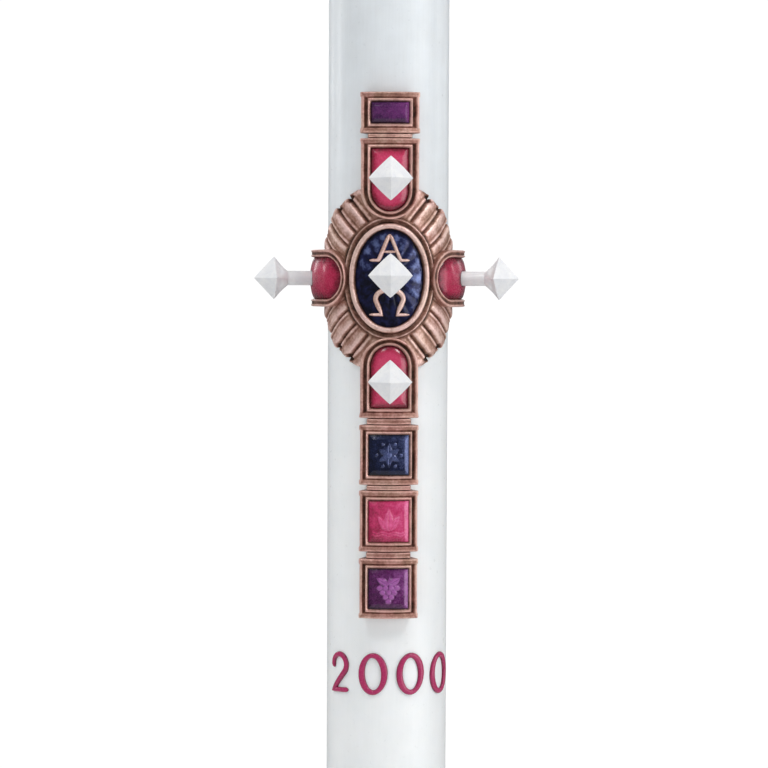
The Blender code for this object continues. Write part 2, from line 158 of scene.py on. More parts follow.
# Across the ring from the outside in: distance in, height and shade
RING_PROFILE = (
    (0.00, 6.2, 0.05),
    (0.00, 6.8, 0.05),
    (0.40, 7.0, 0.05),
    (0.70, 7.5, 0.15),
    (0.90, 8.4, 0.45),
    (1.15, 9.2, 0.80),
    (1.55, 9.8, 1.00),
    (2.20, 10.1, 1.00),
    (2.90, 10.15, 1.00),
    (3.50, 9.95, 1.00),
    (3.95, 9.4, 0.90),
    (4.25, 8.5, 0.45),
    (4.40, 7.2, 0.05),
    (4.40, 6.2, 0.00),
)
FIELD_EDGE = 6.9
FIELD_CREST = 7.9
FIELD_PETALS = 18
LETTER_BASE = 7.0
LETTER_TOP = 9.2
PLATE_MIDDLE = 5.8
COLLAR = 7.8
COLLAR_SHARE = 0.1
FAN_REACH = (68.0, 58.0)
FAN_ROOTS = (0.0, 90.0)
FAN_ENDS = (17.0, 72.5)
# Across one flute, from groove to groove: place, share of the crest's height and shade. The shade is dark
# in the grooves, partly as patina and partly as painted shade, and light on the crests as painted
# highlight
FLUTE_PROFILE = (
    (0.00, 0.00, 0.12),
    (0.05, 0.20, 0.25),
    (0.10, 0.60, 0.55),
    (0.17, 0.90, 0.95),
    (0.26, 1.00, 1.00),
    (0.38, 0.96, 0.78),
    (0.50, 0.88, 0.66),
    (0.60, 0.84, 0.64),
    (0.66, 0.76, 0.45),
    (0.71, 0.71, 0.36),
    (0.76, 0.79, 0.62),
    (0.82, 0.87, 0.95),
    (0.88, 0.78, 0.75),
    (0.93, 0.55, 0.40),
    (0.97, 0.20, 0.22),
)
# How much shorter than the fan each flute is, from the upright arm to the side arm
FLUTE_STEPS = (0.00, 0.055, 0.015, 0.06, 0.02)
FLUTES = len(FLUTE_STEPS)
# Pits are pressed in the grooves between these places, this share of the way to the rim, and painted black
# inside as their shadow
PITS = (0.5, 2.5)
PIT_PLACE = 0.92
PIT_SIZE = (0.32, 0.09)

# Numerals, by their turn from the front in degrees
NUMERAL_RISE = 1.9
NUMERAL_TURNS = {"first": -50.0, "second": -14.0, "third": 22.0, "fourth": 58.0}

# Colours as linear red, green and blue, from the darkest tone to the lightest
WHITE_WAX = ((0.88, 0.905, 0.915), (0.92, 0.945, 0.955))
# Darker tones of the same wax, used as painted shade on the pillar above the cross
PAINTED_SHADE_WAX = ((0.715, 0.75, 0.775), (0.765, 0.805, 0.835))
PEARL = ((0.78, 0.79, 0.82), (0.88, 0.88, 0.88))
COTTON = ((0.62, 0.56, 0.44), (0.82, 0.78, 0.68))
RESIN = ((0.3, 0.12, 0.02), (0.72, 0.42, 0.12))
FLOOR = ((0.8, 0.8, 0.8), (0.86, 0.86, 0.86))
BRONZE = ((0.055, 0.024, 0.018), (0.19, 0.076, 0.056), (0.41, 0.182, 0.148), (0.8, 0.47, 0.42))
TAN = ((0.05, 0.028, 0.016), (0.205, 0.115, 0.072), (0.395, 0.245, 0.168), (0.8, 0.6, 0.48))
PALE_BRONZE = ((0.055, 0.024, 0.016), (0.21, 0.094, 0.066), (0.45, 0.225, 0.175), (0.96, 0.66, 0.61))
RASPBERRY = ((0.12, 0.008, 0.02), (0.4, 0.022, 0.07), (0.56, 0.05, 0.13))
PINK = ((0.18, 0.01, 0.03), (0.51, 0.034, 0.128), (0.76, 0.14, 0.33))
PURPLE = ((0.018, 0.002, 0.018), (0.095, 0.013, 0.092), (0.34, 0.1, 0.345))
DARK_PURPLE = ((0.016, 0.002, 0.018), (0.05, 0.009, 0.062), (0.17, 0.034, 0.17))
NAVY = ((0.002, 0.002, 0.008), (0.01, 0.015, 0.054), (0.095, 0.12, 0.28))
NAVY_ENAMEL = ((0.003, 0.003, 0.014), (0.015, 0.019, 0.085), (0.17, 0.22, 0.46))
NUMERAL = ((0.14, 0.01, 0.042), (0.26, 0.018, 0.074), (0.42, 0.03, 0.12))
TAN_SHARE = 0.5
# The wax is painted darker above the cross, as painted shade, and white below it, blending over twice this
# height
PAINTED_SHADE_FADE = 140.0

# Colour and strength of the sky and of the backdrop that the camera sees
SKY = ((0.97, 0.985, 1.0, 1.0), 0.2)
BACKDROP = ((1.0, 1.0, 1.0, 1.0), 1.05)

# Camera, in metres and degrees. Its aim is a height above the cross in millimetres
CAMERA_BEARING = (-1.16, 2.7)
CAMERA_ROLL = 0.24
CAMERA_DISTANCE = 1.4
CAMERA_AIM = -67.2
CAMERA_SHIFT = -0.0047
SEEN_WIDTH = 0.4890
SENSOR = 36.0


# ---- mesh helpers


class Shape:
    """Points in metres, each with a shade, and the faces between them."""

    def __init__(self):
        self.points = []
        self.shades = []
        self.faces = []

    def ring(self, points, shade):
        """Adds a row of points and gives their numbers. The shade is one value or one for each point."""
        start = len(self.points)
        self.points += [Vector(point) for point in points]
        count = len(self.points) - start
        self.shades += list(shade) if isinstance(shade, (list, tuple)) else [shade] * count
        return list(range(start, start + count))

    def strip(self, lower, upper, closed=True):
        count = len(lower)
        for i in range(count if closed else count - 1):
            j = (i + 1) % count
            self.faces.append((lower[i], lower[j], upper[j], upper[i]))

    def strips(self, rows, closed=True):
        for lower, upper in zip(rows, rows[1:]):
            self.strip(lower, upper, closed)

    def cap(self, ring):
        self.faces.append(tuple(ring))


def lofted(rings, loop=False):
    """A tube through rings, each its points and their shade, with closed ends or joined in a loop."""
    shape = Shape()
    rows = [shape.ring(points, shade) for points, shade in rings]
    if loop:
        rows.append(rows[0])
    shape.strips(rows)
    if not loop:
        shape.cap(rows[0])
        shape.cap(rows[-1])
    return shape


def join(first, second):
    """Puts two shapes in one."""
    start = len(first.points)
    first.points += second.points
    first.shades += second.shades
    first.faces += [tuple(i + start for i in face) for face in second.faces]
    return first



def wrap(across, up, height, bend=FRAME_BEND, turn=0.0, base=CROSS):
    """Bends a point of a flat drawing round the candle. Millimetres in, metres out."""
    angle = across / bend + turn
    radius = RADIUS + height
    return Vector((radius * sin(angle), -radius * cos(angle), base + up)) * MM


def lowered(point, height):
    """Moves a point straight in to a height above the wax."""
    scale = (RADIUS + height) * MM / hypot(point.x, point.y)
    return Vector((point.x * scale, point.y * scale, point.z))


def full_turn(count):
    return [2 * pi * i / count for i in range(count)]


def mix(low, high, share):
    return low + (high - low) * share


def smooth_step(low, high, value):
    """Runs gently from 0 at low to 1 at high. Low may be the greater of the two."""
    share = min(1.0, max(0.0, (value - low) / (high - low)))
    return share * share * (3 - 2 * share)


def add_object(name, data):
    ob = bpy.data.objects.new(name, data)
    bpy.context.scene.collection.objects.link(ob)
    return ob


def mesh_of(name, shape, uneven=0.0):
    """A mesh that carries the shades, with doubled points merged and faces turned outwards."""
    mesh = bpy.data.meshes.new(name)
    mesh.from_pydata([hand_cast(point, uneven) for point in shape.points], [], shape.faces)
    layer = mesh.attributes.new("shade", "FLOAT", "POINT")
    layer.data.foreach_set("value", shape.shades)
    bm = bmesh.new()
    bm.from_mesh(mesh)
    bmesh.ops.remove_doubles(bm, verts=bm.verts, dist=MERGE)
    bmesh.ops.recalc_face_normals(bm, faces=bm.faces)
    bm.to_mesh(mesh)
    bm.free()
    return mesh


def make(name, shape, mat, node, sharp=40.0, uneven=0.0, body="candle"):
    """Turns a shape into a piece that stands for a CAD node."""
    mesh = mesh_of(name, shape, uneven)
    mesh.shade_smooth()
    mesh.set_sharp_from_angle(angle=radians(sharp))
    mesh.materials.append(mat)
    ob = add_object(name, mesh)
    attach(ob, body)
    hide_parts(node)
    return ob


def hand_cast(point, amount):
    """Moves a point a little, as poured wax is never quite true."""
    broad = noise.noise_vector(point / (9.0 * MM))
    fine = noise.noise_vector(point / (2.2 * MM) + Vector((3.0, 5.0, 7.0)))
    return point + (broad + fine * 0.35) * amount * MM


def bore(ob, name):
    """Cuts the socket of one nail through a piece."""
    place = nail_frame(name)
    ends = [nail_ring(SOCKET, distance, ROUND_POWER, 48) for distance in (SOCKET_FLOOR, SOCKET_MOUTH)]
    # The cutter's shade of 0 passes onto the socket walls, painting them in the darkest tone as shade
    # inside the hole
    shape = lofted([(placed(place, ring), 0.0) for ring in ends])
    cutter = add_object("cutter", mesh_of("cutter", shape))
    modifier = ob.modifiers.new("socket", "BOOLEAN")
    modifier.operation = "DIFFERENCE"
    modifier.solver = "EXACT"
    modifier.object = cutter
    bpy.context.view_layer.update()
    graph = bpy.context.evaluated_depsgraph_get()
    bored = bpy.data.meshes.new_from_object(ob.evaluated_get(graph))
    ob.modifiers.clear()
    ob.data = bored
    bpy.data.objects.remove(cutter)


# ---- outlines
# A sample of an outline is (x, y, offset x, offset y, weights). x and y run from -1 to 1 over the panel,
# the offsets are in millimetres, and the weights choose between side, flat end and round end.

SIDE, FLAT, ROUND = (1.0, 0.0, 0.0), (0.0, 1.0, 0.0), (0.0, 0.0, 1.0)


class Panel:
    """A flat-ended tile, or an arm with a flat outer end and a half-round inner end."""

    def __init__(self, half, low, high, arm=False, direction=(0.0, 1.0), scales=PLAIN_SCALES):
        self.half, self.low, self.high, self.arm = half, low, high, arm
        self.direction, self.scales = direction, scales
        self.beside = direction[0] != 0.0
        self.base = low + half if arm else (low + high) / 2
        self.samples = self.sides_and_ends()

    def sides_and_ends(self):
        """Counter-clockwise from the middle of the right side."""
        rise = (0.0, 0.12, 0.24, 0.36, 0.48, 0.58, 0.66, 0.72, 0.76, 0.79, 0.82, 0.85, 0.88)
        widths = [i / 14 * 0.92 for i in range(-14, 15)]
        samples = [(1, y, 0, 0, SIDE) for y in rise] + corner(1, 1)
        samples += [(-x, 1, 0, 0, FLAT) for x in widths] + corner(-1, 1)[::-1]
        samples += [(-1, y, 0, 0, SIDE) for y in rise[::-1]]
        if self.arm:
            turns = [pi * (1 + i / 56) for i in range(1, 56)]
            weights = [mix_all(SIDE, ROUND, sin(t) ** 2) for t in turns]
            return samples + [(cos(t), sin(t), 0, 0, weight) for t, weight in zip(turns, weights)]
        samples += [(-1, -y, 0, 0, SIDE) for y in rise[1:]] + corner(-1, -1)
        samples += [(x, -1, 0, 0, FLAT) for x in widths] + corner(1, -1)[::-1]
        return samples + [(1, -y, 0, 0, SIDE) for y in rise[:0:-1]]

    def place(self, sample, insets):
        """Where a sample lies on the outline drawn in by the insets."""
        x, y, off_x, off_y, _ = sample
        sides = insets[0] * self.scales[0]
        flat, round_end = insets[1] * self.scales[1], insets[2] * self.scales[1]
        reach = self.high - self.base - flat
        if y < 0:
            reach = self.base - self.low - (round_end if self.arm else flat)
        return x * (self.half - sides) + off_x, self.base + y * reach + off_y

    def wrapped(self, x, y, height):
        """Turns a point to the panel's direction and wraps it."""
        right, up = self.direction
        return wrap(y * right + x * up, y * up - x * right, height)

    def ear(self, sample, y):
        """How far the rails reach out to the side where they end."""
        away = self.high - y if self.arm else min(self.high - y, y - self.low)
        reach = 0.0 if self.beside else EAR
        return sample[0] * reach * (1 - smooth_step(EAR_LENGTH - 0.4, EAR_LENGTH, away))


def choose(values, weights):
    return sum(v * w for v, w in zip(values, weights))


def mix_all(first, second, share):
    return tuple(mix(a, b, share) for a, b in zip(first, second))


def corner(x, y):
    """A rounded corner, from the side to the end."""
    samples = []
    for i in range(5):
        angle = pi / 2 * i / 4
        off_x, off_y = CORNER * (1 - cos(angle)), CORNER * (1 - sin(angle))
        samples.append((x, y, -x * off_x, -y * off_y, mix_all(SIDE, FLAT, i / 4)))
    return samples


def frame_shape(panel):
    """A cast frame: an outer rail, a groove and a bezel, with small ears where the rails end."""
    rings = []
    for insets, heights, shades in FRAME_RINGS:
        points = []
        for sample in panel.samples:
            x, y = panel.place(sample, insets)
            x += panel.ear(sample, y) if insets[0] < EAR_DEPTH else 0.0
            height = choose(heights, sample[4])
            if panel.beside and 0.0 < insets[0] < JEWEL_LIP:
                height = max(height, SIDE_GROOVE)
            points.append(panel.wrapped(x, y, height))
        rings.append((points, [choose(shades, sample[4]) for sample in panel.samples]))
    return lofted(rings)


def connector_shape(panel):
    """A low bar between two frames, with its top painted lighter as highlight."""
    rings = []
    for inset, height, shade in CONNECTOR_RINGS:
        insets = (min(inset, 0.4), inset, inset)
        points = [panel.wrapped(*panel.place(sample, insets), height) for sample in panel.samples]
        rings.append((points, shade))
    return lofted(rings)


# ---- jewels


def cabochon_shape(panel, base, rise, swell):
    """A dome over an arm's seat, from its edge to a crest along its spine. A swell bows the spine too."""
    shape = Shape()
    edge = [panel.place(sample, JEWEL_INSET) for sample in panel.samples]
    low, high = panel.base, max(panel.base, panel.high - panel.half)
    ridge = [(0.0, min(max(y, low), high)) for _, y in edge]
    middle, half_length = (panel.low + panel.high) / 2, (panel.high - panel.low) / 2
    rows = [shape.ring([panel.wrapped(x, y, JEWEL_SEAT) for x, y in edge], 0.0)]
    steps = 26
    for i in range(steps + 1):
        left = max(0.0, cos(pi / 2 * i / steps))
        points = []
        for (x, y), (ridge_x, ridge_y) in zip(edge, ridge):
            along = mix(ridge_y, y, left)
            bow = swell * (1 - ((along - middle) / half_length) ** 2)
            height = base + rise * (1 - left**2.1) ** (1 / 2.1) + bow * (1 - left)
            points.append(panel.wrapped(mix(ridge_x, x, left), along, height))
        # The dome is painted dark at its edge, as shade where it sinks under the bezel, and lighter
        # towards its crest
        rows.append(shape.ring(points, smooth_step(0.0, 0.5, 1 - left)))
    shape.strips(rows)
    shape.cap(rows[0])
    return shape


def relief_shape(panel, relief, chamfer, drop, crest, pillow, ridge):
    """A rectangular jewel with chamfered edges, a slight pillow and a relief on its face."""
    cells = 96
    stops = [sin(pi / 2 * (2 * i / cells - 1)) for i in range(cells + 1)]
    shape = Shape()
    half = panel.half - JEWEL_INSET[0] * panel.scales[0]
    half_height = (panel.high - panel.low) / 2 - JEWEL_INSET[1]
    rows = []
    for y in [half_height * stop for stop in stops]:
        points, shades = [], []
        for x in [half * stop for stop in stops]:
            edge = min(half - abs(x), half_height - abs(y))
            short = 1 - edge / chamfer
            height = crest - drop * (sqrt(short * short + 0.004) + short) / 2
            height += pillow * (1 - (x / half) ** 2) * (1 - (y / half_height) ** 2)
            raised = relief(x, y) * smooth_step(chamfer * 0.8, chamfer + 0.6, edge)
            points.append(panel.wrapped(x, panel.base + y, height + raised))
            # Painted shade at the rim against the bezel, painted highlight on the raised relief, and by
            # ridge a painted highlight along the middle
            tone = 0.05 + 0.43 * smooth_step(0.0, 1.2, edge) + 0.5 * raised
            tone += ridge * (1 - (y / half_height) ** 2)
            # Painted light on the right half and along the right edge, painted shade on the left half and
            # at the foot
            tone += LIT_EDGE * smooth_step(0.72, 0.86, x / half) * smooth_step(0.0, 0.5, edge)
            tone += LIT_SIDE * x / half - PAINTED_FOOT_SHADE * max(0.0, -y / half_height) ** 2
            shades.append(min(1.0, max(0.0, tone)))
        rows.append(shape.ring(points, shades))
    shape.strips(rows, closed=False)
    rim = rows[0] + [row[-1] for row in rows[1:]] + rows[-1][-2::-1] + [row[0] for row in rows[-2:0:-1]]
    base = shape.ring([lowered(shape.points[index], JEWEL_SEAT) for index in rim], 0.0)
    shape.strip(rim, base)
    shape.cap(base)
    return shape


def ball(x, y, centre_x, centre_y, radius, height):
    """The height of a round bump."""
    away = hypot(x - centre_x, y - centre_y) / radius
    return height * sqrt(1 - away * away) if away < 1 else 0.0


def leaf(x, y, foot_x, foot_y, turn, length, width, height):
    """The height of a pointed leaf or flame from its foot, with a vein down its middle."""
    c, s = cos(turn), sin(turn)
    along = ((x - foot_x) * c + (y - foot_y) * s) / length
    side = -(x - foot_x) * s + (y - foot_y) * c
    if not 0 < along < 1:
        return 0.0
    half = width * sin(pi * along**0.75)
    away = abs(side) / max(half, 1e-6)
    if away >= 1:
        return 0.0
    return height * sqrt(1 - away * away) * (1 - 0.45 * exp(-((side / 0.28) ** 2)))


def plain_face(x, y):
    return 0.0


def rosette(x, y):
    """Six petals round a bead, in a ring of smaller beads."""
    turns = [radians(60 * i) for i in range(6)]
    petals = [leaf(x, y, 0.0, 0.0, t + radians(30), 7.4, 1.9, 0.75) for t in turns]
    beads = [ball(x, y, 7.6 * cos(t), 7.6 * sin(t), 1.1, 0.7) for t in turns]
    return max(petals + beads + [ball(x, y, 0.0, 0.0, 1.9, 1.3)])


def flames(x, y):
    """Three tongues of flame on one foot, over two waves."""
    tongues = [leaf(x, y, 0.0, -6.0, radians(90), 14.8, 2.9, 0.8)]
    for side in (-1, 1):
        tongues.append(leaf(x, y, side * 0.8, -5.6, radians(90 - side * 32), 11.0, 2.3, 0.65))
    waves = [0.45 * exp(-(((y + low + 0.5 * cos(x * 0.9)) / 0.5) ** 2)) for low in (6.9, 8.4)]
    return max(tongues + waves)


def grapes(x, y):
    """A bunch of grapes under two leaves and a stem."""
    berries = []
    for row, count in enumerate((4, 3, 2, 1)):
        for i in range(count):
            berries.append(ball(x, y, (i - (count - 1) / 2) * 3.5, 0.8 - row * 2.8, 1.95, 1.3))
    leaves = [leaf(x, y, 0.0, 2.6, radians(turn), 8.6, 2.5, 1.1) for turn in (30, 150)]
    stem = leaf(x, y, 0.2, 2.2, radians(84), 6.6, 0.9, 0.9)
    return max(berries + leaves + [stem])


# ---- medallion


def on_oval(half, turn, height):
    return wrap(half[0] * sin(turn), half[1] * cos(turn), height, MEDALLION_BEND)


def ring_shape():
    """The frame round the medallion: a foot painted dark as shade against the plate, and one broad rim
    painted bright as highlight.
    """
    rings = []
    for inset, height, shade in RING_PROFILE:
        half = [side - inset for side in RING_HALF]
        rings.append(([on_oval(half, t, height) for t in full_turn(168)], shade))
    return lofted(rings, loop=True)


def field_shape():
    """A shallow dome pressed with petals that run out from the middle."""
    half = [side - RING_WIDTH - 0.1 for side in RING_HALF]
    turns = full_turn(FIELD_PETALS * 12)
    rings = [([on_oval(half, t, RING_SEAT) for t in turns], 0.0)]
    shares = [1.0, 0.985, 0.96, 0.93, 0.9, 0.86, 0.8, 0.73, 0.66, 0.58, 0.5, 0.42, 0.34, 0.26, 0.18, 0.09]
    for share in shares:
        points, shades = [], []
        size = [side * share for side in half]
        for t in turns:
            petal = abs(sin(t * FIELD_PETALS / 2))
            reach = smooth_step(0.2, 0.4, share) * (1 - smooth_step(0.9, 0.97, share))
            height = mix(FIELD_CREST, FIELD_EDGE, share**3)
            height += reach * 0.5 * (petal**1.4 - 0.8)
            points.append(on_oval(size, t, height))
            # Painted light on the field: lighter to the right and upper left, darker at the bottom
            glow = 0.75 + 0.45 * sin(t) ** 3 + 0.35 * max(0.0, cos(t + 0.7)) ** 2
            glow *= mix(0.4, 1.0, smooth_step(-0.9, 0.1, cos(t)))
            # Petal crests are painted lighter as highlight; the edge by the ring and the middle are
            # painted darker, the middle as the nail head's shadow
            shade = mix(0.1, mix(0.4, 0.8, petal**1.2) * glow, reach)
            shades.append(shade * smooth_step(0.15, 0.9, share))
        rings.append((points, shades))
    return lofted(rings)


def fan_point(quarter, across, share):
    """A point of a fan. across runs from the upright arm to the side arm, share from the ring out."""
    spread = max(0.0, (share - COLLAR_SHARE) / (1 - COLLAR_SHARE))
    turn = radians(mix(mix(*FAN_ROOTS, across**0.8), mix(*FAN_ENDS, across), spread))
    x = mix(RING_HALF[0] + 0.3, FAN_REACH[0], share) * sin(turn)
    y = mix(RING_HALF[1] + 0.3, FAN_REACH[1], share) * cos(turn)
    return quarter[0] * x, quarter[1] * y


def flute(place, crest, shade, share, sideways):
    """Height and shade on a flute, at a share of its length. sideways is 1 beside the ring."""
    start = smooth_step(0.13, 0.2, share)
    end = 1 - smooth_step(0.94, 1.0, share)
    groove = mix(5.0, 2.2, share)
    top = mix(7.6, 4.4, share**0.8) * mix(0.72, 1.0, end)
    height = mix(groove, top, crest)
    crest_of_collar = smooth_step(0.035, 0.06, share) * (1 - smooth_step(0.085, 0.12, share))
    collar = mix(6.2, COLLAR, crest_of_collar)
    # The collar's groove is painted darker beside the ring than above and below it, as painted shade
    collar_shade = mix(mix(0.34, 0.04, sideways**2), 0.8, crest_of_collar)
    # Grooves near the rim are painted darker as shadow
    painted_rim_shadow = 1 - 0.7 * smooth_step(0.8, 0.95, share) * (1 - min(1.0, crest * 1.8))
    pit = 0.0
    if PITS[0] < place < PITS[1]:
        away = hypot((place - round(place)) / PIT_SIZE[0], (share - PIT_PLACE) / PIT_SIZE[1])
        pit = 1 - smooth_step(0.6, 1.0, away)
    height = mix(mix(collar, height, start), 1.0, pit)
    # A pit is painted black as the shadow inside it
    return height, mix(collar_shade, shade, start) * painted_rim_shadow * (1 - pit)


def plate_shape():
    """The sunburst plate: a collar round the ring, and a fan of flutes in each corner of the cross."""
    shape = Shape()
    shares = [0.0, 0.02, 0.045, 0.07, 0.09, 0.115, 0.14, 0.165, 0.19, 0.23, 0.28, 0.35, 0.43, 0.52]
    shares += [0.61, 0.7, 0.78, 0.84, 0.89, 0.93, 0.96, 0.985, 1.0]
    across = []
    for i, step in enumerate(FLUTE_STEPS):
        across += [(i + place, crest, shade, step) for place, crest, shade in FLUTE_PROFILE]
    across.append((FLUTES, 0.0, 0.0, 0.0))
    edge = []
    for quarter in ((1, 1), (1, -1), (-1, -1), (-1, 1)):
        rows = []
        for place, crest, shade, step in across:
            length = 1.0 - step - 0.06 * (1 - crest)
            points, shades = [], []
            for share in shares:
                flat = fan_point(quarter, place / FLUTES, share * length)
                sideways = min(1.0, abs(flat[0]) / RING_HALF[0])
                # The shade carries patina and painted shade in the grooves and painted highlight on the
                # crests
                height, patina_and_painted_light = flute(place, crest, shade, share, sideways)
                points.append(wrap(*flat, height, MEDALLION_BEND))
                shades.append(patina_and_painted_light)
            rows.append((shape.ring(points, shades), fan_point(quarter, place / FLUTES, 0.0)))
        if quarter[0] != quarter[1]:
            rows.reverse()
        shape.strips([row for row, _ in rows], closed=False)
        edge += rows
    loops = [[row[0] for row, _ in edge]]
    for share in (0.97, 0.7, 0.4, 0.1):
        points = [wrap(x * share, y * share, PLATE_MIDDLE, MEDALLION_BEND) for _, (x, y) in edge]
        loops.append(shape.ring(points, 0.0))
    shape.strips(loops)
    shape.cap(loops[-1])
    return closed_below(shape)


def weld(shape):
    """Gives points that share a place one number, so that only the true rim of a sheet is open."""
    tree = kdtree.KDTree(len(shape.points))
    for i, point in enumerate(shape.points):
        tree.insert(point, i)
    tree.balance()
    first = [min(i for _, i, _ in tree.find_range(point, MERGE)) for point in shape.points]
    faces = [tuple(dict.fromkeys(first[i] for i in face)) for face in shape.faces]
    shape.faces = [face for face in faces if len(face) > 2]


def closed_below(shape):
    """Closes a sheet with walls down to the wax and a copy of itself there."""
    weld(shape)
    count = len(shape.points)
    uses = {}
    for face in shape.faces:
        for a, b in zip(face, face[1:] + face[:1]):
            uses.setdefault(frozenset((a, b)), []).append((a, b))
    # The copy at the wax is painted dark, as shade at the foot of the walls
    shape.ring([lowered(point, 0.3) for point in shape.points], 0.1)
    shape.faces += [tuple(i + count for i in reversed(face)) for face in shape.faces]
    for edges in uses.values():
        if len(edges) == 1:
            a, b = edges[0]
            shape.faces.append((b, a, a + count, b + count))
    return shape


# ---- strokes


def bezier(corners, steps):
    """Samples a cubic curve, without its start point."""
    points = []
    for i in range(1, steps + 1):
        t = i / steps
        weights = ((1 - t) ** 3, 3 * t * (1 - t) ** 2, 3 * t * t * (1 - t), t**3)
        points.append(tuple(sum(w * c[axis] for w, c in zip(weights, corners)) for axis in (0, 1)))
    return points


def arc(centre, radii, start, end, steps):
    angles = [radians(mix(start, end, i / steps)) for i in range(steps + 1)]
    return [(centre[0] + radii[0] * cos(a), centre[1] + radii[1] * sin(a)) for a in angles]


def straight(start, end, steps):
    return [mix_all(start, end, i / steps) for i in range(1, steps + 1)]


def stroke_shape(path, width, low, high, bend, turn=0.0, base=CROSS, closed=False):
    """A rounded stroke along a path. width is a function of the share of the way along."""
    points = [Vector(point) for point in path]
    count = len(points)
    rings = []
    section_steps = 12
    for i, point in enumerate(points):
        directions = []
        if closed or i:
            directions.append((point - points[i - 1]).normalized())
        if closed or i < count - 1:
            directions.append((points[(i + 1) % count] - point).normalized())
        along = sum(directions, Vector((0.0, 0.0))).normalized()
        side = Vector((-along.y, along.x))
        mitre = 1.0 / max(0.6, along.dot(directions[0]))
        size = width(i / (count if closed else count - 1))
        from_end = 3 if closed else min(i, count - 1 - i, 3)
        fullness = (0.25, 0.75, 0.95, 1.0)[from_end]
        ring, shades = [], []
        for k in range(section_steps + 1):
            angle = pi * k / section_steps
            flat = point + side * (cos(angle) * size * mitre * 0.5 * fullness)
            height = low + (high - low) * sin(angle) ** 0.75 * mix(0.4, 1.0, fullness)
            ring.append(wrap(flat.x, flat.y, height, bend, turn, base))
            # Strokes are painted lighter along their crest as highlight and darker at their feet as shade
            shades.append(min(1.0, 0.2 + 0.95 * sin(angle)))
        rings.append((ring, shades))
    return lofted(rings, closed)


def letter_width(share):
    """A thin foot at both ends and a full stroke between them."""
    from_end = min(share, 1 - share)
    return mix(2.1, 3.4, smooth_step(0.12, 0.2, from_end))


def rising(low, high):
    """A thin foot that rises to a full stroke."""
    return lambda share: mix(low, high, smooth_step(0.2, 0.4, share))


def letter_stroke(path, width):
    return stroke_shape(path, width, LETTER_BASE, LETTER_TOP, MEDALLION_BEND)


def first_letter_shape():
    """An open peak on two flat feet, with a bar."""
    foot, knee, low, peak = 13.0, 6.9, 11.0, 27.0
    bar_left, bar_right = (-4.2, 16.2), (4.2, 16.2)
    bend = ((knee + 1.2, low), (knee + 0.3, low), (knee, low + 0.3), (knee - 0.4, low + 1.2))
    right = [(foot, low)] + straight((foot, low), bend[0], 6) + bezier(bend, 4)
    right += straight(right[-1], (0.2, peak), 14)
    left = [(-x, y) for x, y in right]
    legs = join(letter_stroke(left, rising(2.0, 2.9)), letter_stroke(right, rising(2.0, 2.6)))
    return join(legs, letter_stroke([bar_left] + straight(bar_left, bar_right, 8), lambda share: 1.8))


def last_letter_shape():
    """A horseshoe on two feet."""
    baseline = -22.4
    foot, neck = (-13.0, baseline), (-5.2, baseline)
    left = arc((0.0, -12.7), (8.9, 5.8), 205.0, 90.0, 14)
    half = [foot] + straight(foot, neck, 6)
    half += bezier((half[-1], (-5.4, -19.4), (-7.6, -17.6), left[0]), 7) + left[1:]
    path = half + [(-x, y) for x, y in reversed(half[:-1])]
    return letter_stroke(path, letter_width)


def zero_path():
    return arc((0.0, 0.0), (7.6, 11.6), 0.0, 360.0, 72)[:-1]


def zero_width(share):
    return 3.0 + 1.5 * abs(cos(2 * pi * share - 0.3)) ** 1.6


def two_path():
    top = arc((-0.4, 5.2), (6.2, 6.2), 205.0, -25.0, 30)
    foot = (-6.4, -11.6)
    slope = bezier((top[-1], (4.0, -0.2), (-2.6, -5.6), foot), 18)
    return top + slope + straight(foot, (7.4, -10.4), 14)


def two_width(share):
    return 3.0 + 0.8 * sin(pi * share) ** 2 + 0.3 * smooth_step(0.8, 1.0, share)


# ---- nails, wick and pillar


def nail_frame(name):
    """Local z leaves the candle along the nail, and local y is up. In millimetres."""
    low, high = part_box(f"nail_{name}")
    angle = radians(NAIL_TURNS[name])
    out = Vector((sin(angle), -cos(angle), 0.0))
    up = Vector((0.0, 0.0, 1.0))
    place = Matrix.Translation((0.0, 0.0, (low.z + high.z) / 2 / MM))
    return place @ Matrix((up.cross(out), up, out)).transposed().to_4x4()


def placed(place, ring):
    """Moves a ring from a nail's own frame to the candle's, in metres."""
    return [place @ Vector(point) * MM for point in ring]


def nail_ring(radius, distance, power, count=72):
    """A ring across a nail, in its own frame."""
    points = []
    for angle in full_turn(count):
        c, s = cos(angle), sin(angle)
        reach = radius / (abs(c) ** power + abs(s) ** power) ** (1 / power)
        points.append((c * reach, s * reach, distance))
    return points


